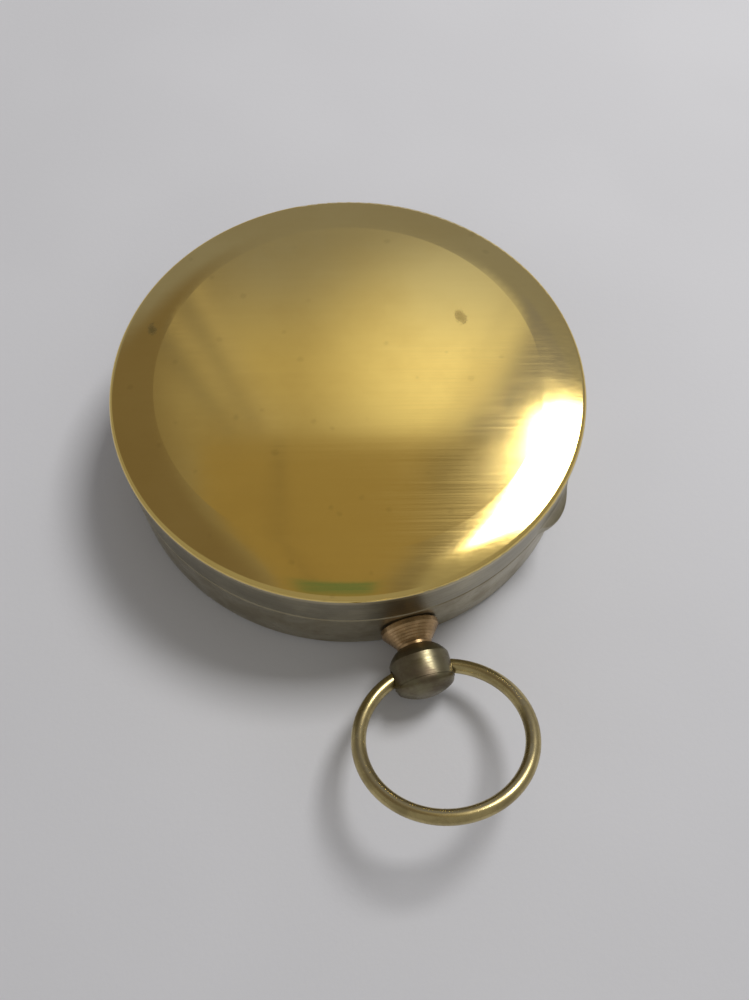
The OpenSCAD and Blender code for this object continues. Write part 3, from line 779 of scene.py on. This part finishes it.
def raise_outline(bm: bmesh.types.BMesh, outline: Iterable[tuple[float, float]], z: float,
                  thick: float) -> None:
    """Adds a thin solid with the given outline.

    Args:
        bm: the bmesh to add to.
        outline: the corners in mm, in order.
        z: height of its underside in mm.
        thick: its thickness in mm.
    """
    low = [bm.verts.new((x * MM, y * MM, z * MM)) for x, y in outline]
    high = [bm.verts.new((v.co.x, v.co.y, (z + thick) * MM)) for v in low]
    bm.faces.new(high)
    bm.faces.new(list(reversed(low)))
    for i, v in enumerate(low):
        j = (i + 1) % len(low)
        bm.faces.new((v, low[j], high[j], high[i]))


@dataclass
class DialPrinting:
    """Degree ring, rose and clinometer scale printed on the dial.

    Attributes:
        z: height of the dial's face.
        thick: thickness of the print.
        ring_r: radius of the outer ends of the degree ticks.
        number_r: radius of the middle of the degree numbers.
        tilt_r: radius of the inner ends of the clinometer's ticks.
        tilt_number_r: radius of the middle of the clinometer's numbers.
        rose_r: radius of the rose's long points.
        pieces: the printed pieces, once built.
    """

    z: float = 1.805
    thick: float = 0.02
    ring_r: float = 33.0
    number_r: float = 27.3
    tilt_r: float = 18.1
    tilt_number_r: float = 21.4
    rose_r: float = 15.5
    pieces: list[bpy.types.Object] = field(default_factory=list)

    def build(self, wardrobe: Wardrobe) -> None:
        """Makes the printed pieces and puts them on the case.

        Args:
            wardrobe: the materials.
        """
        self.pieces = [
            mesh_piece("dial_degree_ticks", self._degree_ticks),
            self._numbers("dial_degree_numbers", self.number_r, 2.7,
                          [(a, str(a)) for a in range(0, 360, 30)]),
            mesh_piece("dial_rose", self._rose),
            mesh_piece("clinometer_ticks", self._tilt_ticks),
            self._numbers("clinometer_numbers", self.tilt_number_r, 1.9,
                          [(180 + a, str(abs(a))) for a in range(-90, 91, 30)]),
        ]
        for piece in self.pieces:
            wardrobe.dress(piece, INK)
            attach(piece, "case")
            log.info("printed %s: %d faces", piece.name, len(piece.data.polygons))

    def _tick(self, bm: bmesh.types.BMesh, bearing: float, r_in: float, r_out: float,
              width: float) -> None:
        """Adds one radial tick.

        Args:
            bm: the bmesh to add to.
            bearing: its bearing in degrees, clockwise from +Y.
            r_in: radius of its inner end.
            r_out: radius of its outer end.
            width: its width.
        """
        a = math.radians(bearing)
        out, side = Vector((math.sin(a), math.cos(a))), Vector((math.cos(a), -math.sin(a)))
        corners = [out * r + side * s for r, s in ((r_in, -width / 2), (r_out, -width / 2),
                                                   (r_out, width / 2), (r_in, width / 2))]
        raise_outline(bm, [tuple(c) for c in corners], self.z, self.thick)

    def _ring(self, bm: bmesh.types.BMesh, r: float, width: float, start: float = 0.0,
              end: float = 360.0) -> None:
        """Adds a ring, or part of one.

        Args:
            bm: the bmesh to add to.
            r: its middle radius.
            width: its width.
            start: bearing where it starts.
            end: bearing where it ends.
        """
        steps = max(int((end - start) / 2), 2)
        closed = end - start >= 360.0
        rows = []
        for i in range(steps if closed else steps + 1):
            a = math.radians(start + (end - start) * i / steps)
            rows.append([bm.verts.new((rr * math.sin(a) * MM, rr * math.cos(a) * MM, zz * MM))
                         for rr, zz in ((r - width / 2, self.z), (r + width / 2, self.z),
                                        (r + width / 2, self.z + self.thick),
                                        (r - width / 2, self.z + self.thick))])
        for i in range(len(rows) if closed else len(rows) - 1):
            a, b = rows[i], rows[(i + 1) % len(rows)]
            for k in range(4):
                bm.faces.new((a[k], a[(k + 1) % 4], b[(k + 1) % 4], b[k]))
        if not closed:
            bm.faces.new(rows[0])
            bm.faces.new(list(reversed(rows[-1])))

    def _degree_ticks(self, bm: bmesh.types.BMesh) -> None:
        """Draws the degree ticks and the ring round them.

        Args:
            bm: the bmesh to fill.
        """
        for bearing in range(0, 360, 2):
            long, middle = bearing % 30 == 0, bearing % 10 == 0
            length = 3.0 if long else 2.2 if middle else 1.2
            width = 0.28 if long else 0.2 if middle else 0.12
            self._tick(bm, bearing, self.ring_r - length, self.ring_r, width)
        self._ring(bm, self.ring_r + 0.12, 0.14)

    def _tilt_ticks(self, bm: bmesh.types.BMesh) -> None:
        """Draws the clinometer's ticks and arc.

        Args:
            bm: the bmesh to fill.
        """
        for a in range(-90, 91, 5):
            long = a % 30 == 0
            length = 1.6 if long else 1.1 if a % 10 == 0 else 0.7
            self._tick(bm, 180 + a, self.tilt_r, self.tilt_r + length, 0.2 if long else 0.12)
        self._ring(bm, self.tilt_r - 0.12, 0.12, 90.0, 270.0)

    def _rose(self, bm: bmesh.types.BMesh) -> None:
        """Draws an eight-pointed rose, inked on one half of each point.

        Args:
            bm: the bmesh to fill.
        """
        for i in range(8):
            a = math.radians(45 * i)
            length = self.rose_r if i % 2 == 0 else self.rose_r * 0.62
            waist = self.rose_r * 0.17
            tip = (length * math.sin(a), length * math.cos(a))
            b = a + math.radians(22.5)
            side = (waist * math.sin(b), waist * math.cos(b))
            raise_outline(bm, [(0.9 * math.sin(a), 0.9 * math.cos(a)), tip, side], self.z,
                          self.thick)
        self._ring(bm, self.rose_r * 0.5, 0.14)

    def _numbers(self, name: str, r: float, height: float,
                 marks: Iterable[tuple[float, str]]) -> bpy.types.Object:
        """Makes numbers that stand round the dial.

        Args:
            name: the piece's name.
            r: radius of their middles.
            height: height of their digits.
            marks: the bearing and the digits of each.

        Returns:
            One mesh object with all the numbers.
        """
        parts = []
        for bearing, digits in marks:
            curve = bpy.data.curves.new(name, "FONT")
            curve.body = digits
            curve.size = height * 1.35 * MM
            curve.align_x = "CENTER"
            curve.align_y = "CENTER"
            curve.extrude = self.thick / 2 * MM
            curve.resolution_u = 4
            text = bpy.data.objects.new(name, curve)
            a = math.radians(bearing)
            text.matrix_world = (Matrix.Translation((r * math.sin(a) * MM,
                                                     r * math.cos(a) * MM,
                                                     (self.z + self.thick / 2) * MM))
                                 @ Matrix.Rotation(-a, 4, "Z"))
            bpy.context.scene.collection.objects.link(text)
            parts.append(text)
        bpy.context.view_layer.update()
        depsgraph = bpy.context.evaluated_depsgraph_get()
        bm = bmesh.new()
        for text in parts:
            mesh = bpy.data.meshes.new_from_object(text.evaluated_get(depsgraph))
            mesh.transform(text.matrix_world)
            bm.from_mesh(mesh)
            bpy.data.meshes.remove(mesh)
        for text in parts:
            bpy.data.objects.remove(text)
        bmesh.ops.remove_doubles(bm, verts=bm.verts, dist=1e-6)
        mesh = bpy.data.meshes.new(name)
        bm.to_mesh(mesh)
        bm.free()
        piece = bpy.data.objects.new(name, mesh)
        bpy.context.scene.collection.objects.link(piece)
        return piece


# ---- Studio ----


@dataclass(frozen=True)
class Card:
    """A soft-edged reflector card in the bank that stands behind and above the object.

    The bank is so far off that only its direction counts. Places and sizes on it are slopes:
    0.1 is 100 mm across at a distance of 1 m.

    Attributes:
        at: the card's middle, to the right and up.
        half: half its length and half its width.
        turn: the angle of its length from level, in degrees.
        soft: width of its faded edge.
        colour: its colour.
        share: how much of what is behind it that it hides, from 0 to 1.
    """

    at: tuple[float, float]
    half: tuple[float, float]
    turn: float
    soft: float
    colour: Colour
    share: float = 1.0

    def lay(self, t: NodeTree, across: object, up: object, under: object) -> object:
        """Lays the card over the colours behind it.

        Args:
            t: the world's node tools.
            across: the place to the right on the bank.
            up: the place upwards on the bank.
            under: the colour behind the card.

        Returns:
            The new colour's socket.
        """
        a = math.radians(self.turn)
        x, y = t.math("SUBTRACT", across, self.at[0]), t.math("SUBTRACT", up, self.at[1])
        share: object = self.share
        for way, half in (((math.cos(a), math.sin(a)), self.half[0]),
                          ((-math.sin(a), math.cos(a)), self.half[1])):
            along = t.math("ADD", t.math("MULTIPLY", x, way[0]), t.math("MULTIPLY", y, way[1]))
            edge = t.ramp(t.math("ABSOLUTE", along), half - self.soft / 2,
                          half + self.soft / 2, 1.0, 0.0)
            share = t.math("MULTIPLY", edge, share)
        return t.mix(share, under, self.colour)


BANK_WAY: Point = (0.12699, 0.42893, 0.89437)
BANK_UP: Point = (0.21895, 0.86731, -0.44704)
BANK: Sequence[Card] = (
    # The room's own tones.
    Card((0.0, 0.64), (1.20, 0.50), 0.0, 0.16, (0.26, 0.27, 0.35)),
    Card((-0.70, -0.10), (0.50, 0.45), 0.0, 0.18, (0.19, 0.16, 0.13)),
    # The ceiling, lit from the right.
    Card((-0.02, 0.145), (0.19, 0.075), 0.0, 0.16, (0.50, 0.45, 0.32)),
    Card((0.085, 0.150), (0.095, 0.085), 0.0, 0.19, (1.12, 1.08, 0.92)),
    Card((0.10, 0.24), (0.07, 0.05), 0.0, 0.12, (0.62, 0.68, 0.90), 0.5),
    # Beams on the left.
    Card((-0.218, 0.150), (0.10, 0.007), -53.1, 0.014, (0.16, 0.15, 0.16), 0.8),
    Card((-0.195, 0.156), (0.10, 0.006), -53.1, 0.012, (0.44, 0.40, 0.33)),
    Card((-0.185, 0.172), (0.11, 0.006), -60.4, 0.014, (0.17, 0.16, 0.17), 0.8),
    Card((-0.165, 0.173), (0.11, 0.007), -60.4, 0.013, (0.47, 0.43, 0.36)),
    # The dark corner on the right, and a beam that runs to it.
    Card((0.122, 0.165), (0.103, 0.003), 62.6, 0.008, (0.40, 0.40, 0.46), 0.6),
    Card((0.228, 0.054), (0.24, 0.120), 54.6, 0.035, (0.23, 0.24, 0.36)),
    # The wall below the ceiling, with a doorpost.
    Card((-0.035, -0.24), (0.165, 0.312), 0.0, 0.010, (0.31, 0.25, 0.14)),
    Card((0.100, -0.19), (0.035, 0.255), 0.0, 0.06, (0.20, 0.18, 0.16)),
    Card((-0.108, -0.19), (0.0045, 0.26), 0.0, 0.006, (0.17, 0.14, 0.10)),
    Card((-0.098, -0.19), (0.0035, 0.26), 0.0, 0.005, (0.36, 0.29, 0.16), 0.8),
    # A lit sill on the right and something green above.
    Card((0.180, 0.066), (0.070, 0.008), 34.4, 0.010, (1.10, 1.15, 1.40)),
    Card((-0.06, -0.37), (0.09, 0.035), 0.0, 0.02, (0.12, 0.20, 0.13)),
)


@dataclass
class Studio:
    """A pale floor, a soft room and the lamps.

    Attributes:
        floor_colour: colour of the floor.
        room: colour of the room where no card stands.
        backdrop: what is seen behind the object.
        bank: the reflector cards, from the back to the front.
        window: where the large soft lamp is, in mm.
        window_size: its width and height, in mm.
        window_power: its power in watts.
    """

    floor_colour: Colour = (0.66, 0.67, 0.71)
    room: Colour = (0.34, 0.33, 0.31)
    backdrop: Colour = (0.80, 0.81, 0.83)
    bank: Sequence[Card] = BANK
    window: Point = (284.0, 141.0, 534.0)
    window_size: tuple[float, float] = (200.0, 200.0)
    window_power: float = 2.2

    def build(self) -> None:
        """Makes the floor, the world and the lamps."""
        self._floor()
        self._world()
        self._lamp("window_lamp", self.window, self.window_size, self.window_power,
                   (1.0, 0.98, 0.95))
        log.info("studio: floor, room with %d cards, window lamp", len(self.bank))

    def _floor(self) -> None:
        """Makes the pale floor under the object."""
        def fill(bm: bmesh.types.BMesh) -> None:
            """Lays one square whose half side is in metres."""
            bmesh.ops.create_grid(bm, x_segments=1, y_segments=1, size=3.0)
        floor = mesh_piece("floor", fill)
        material = bpy.data.materials.new("paper")
        material.use_nodes = True
        t = NodeTree(material.node_tree)
        out = t.add("OutputMaterial")
        shader = t.add("BsdfPrincipled")
        t.join(shader.outputs[0], out.inputs["Surface"])
        at = t.add("TexCoord").outputs["Object"]
        cloud = t.noise(at, scale=18.0, detail=2.0, roughness=0.5)
        pale = tuple(1.03 * c for c in self.floor_colour)
        t.join(t.mix(t.ramp(cloud, 0.35, 0.65), self.floor_colour, pale),
               shader.inputs["Base Color"])
        shader.inputs["Roughness"].default_value = 0.85
        shader.inputs["Specular IOR Level"].default_value = 0.25
        bump = t.add("Bump")
        bump.inputs["Strength"].default_value = 0.25
        bump.inputs["Distance"].default_value = 0.0001
        t.join(t.noise(at, scale=900.0, detail=3.0, roughness=0.6), bump.inputs["Height"])
        t.join(bump.outputs[0], shader.inputs["Normal"])
        floor.data.materials.append(material)

    def _world(self) -> None:
        """Makes the room: an even tone, the bank of cards and a pale backdrop."""
        world = bpy.data.worlds.new("room")
        bpy.context.scene.world = world
        world.use_nodes = True
        t = NodeTree(world.node_tree)
        out = t.add("OutputWorld")
        back = t.add("Background")
        t.join(back.outputs[0], out.inputs["Surface"])
        way = t.add("TexCoord").outputs["Generated"]
        ahead = t.vector("DOT_PRODUCT", way, BANK_WAY).outputs["Value"]
        right = Vector(BANK_WAY).cross(Vector(BANK_UP))
        far = t.math("MAXIMUM", ahead, 0.05)
        across = t.math("DIVIDE", t.vector("DOT_PRODUCT", way, tuple(-right)).outputs["Value"],
                        far)
        up = t.math("DIVIDE", t.vector("DOT_PRODUCT", way, BANK_UP).outputs["Value"], far)
        colour: object = self.room
        for card in self.bank:
            colour = card.lay(t, across, up, colour)
        seen = t.add("LightPath").outputs["Is Camera Ray"]
        t.join(t.mix(seen, colour, self.backdrop), back.inputs["Color"])

    def _lamp(self, name: str, at: Point, size: tuple[float, float], power: float,
              colour: Colour) -> None:
        """Makes a soft square lamp that points at the object and stands on its corner.

        Args:
            name: its name.
            at: where it is, in mm.
            size: its width and height in mm.
            power: its power in watts.
            colour: its colour.
        """
        light = bpy.data.lights.new(name, "AREA")
        light.shape = "RECTANGLE"
        light.size, light.size_y = size[0] * MM, size[1] * MM
        light.energy = power
        light.color = colour
        lamp = bpy.data.objects.new(name, light)
        lamp.location = Vector(at) * MM
        aim = (-lamp.location).to_track_quat("-Z", "Y").to_matrix().to_4x4()
        lamp.rotation_euler = (aim @ Matrix.Rotation(math.radians(45.0), 4, "Z")).to_euler()
        bpy.context.scene.collection.objects.link(lamp)


@dataclass(frozen=True)
class Shot:
    """The camera's place and aim.

    Attributes:
        at: where it is, in mm.
        toward: the way it looks.
        up: the way that stands up in its picture.
        lens: focal length in mm, for a sensor 36 mm on its long side.
    """

    at: Point = (-17.956, -77.160, 134.605)
    toward: Point = (0.12699, 0.42893, -0.89437)
    up: Point = (0.21895, 0.86731, 0.44704)
    lens: float = 31.58

    def build(self) -> None:
        """Makes the camera and gives it to the scene."""
        data = bpy.data.cameras.new("camera")
        data.lens = self.lens
        data.sensor_width = 36.0
        data.clip_start, data.clip_end = 0.01, 20.0
        camera = bpy.data.objects.new("camera", data)
        back = -Vector(self.toward).normalized()
        right = Vector(self.up).cross(back).normalized()
        up = back.cross(right)
        turn = Matrix((right, up, back)).transposed().to_4x4()
        camera.matrix_world = Matrix.Translation(Vector(self.at) * MM) @ turn
        bpy.context.scene.collection.objects.link(camera)
        bpy.context.scene.camera = camera
        log.info("camera at %s", self.at)


def main() -> None:
    """Dresses the object in order: frame, metals, printing, studio, camera."""
    logging.basicConfig(level=logging.INFO, format="%(name)s: %(message)s")
    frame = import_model()
    scene = bpy.context.scene
    scene.view_settings.view_transform = "Standard"
    wardrobe = Wardrobe()
    for name, node in frame["nodes"].items():
        wardrobe.dress(node, FINISH_OF_NODE[name])
        log.info("dressed %s in %s", name, FINISH_OF_NODE[name].name)
    DialPrinting().build(wardrobe)
    Studio().build()
    Shot().build()


if __name__ == "__main__":
    main()
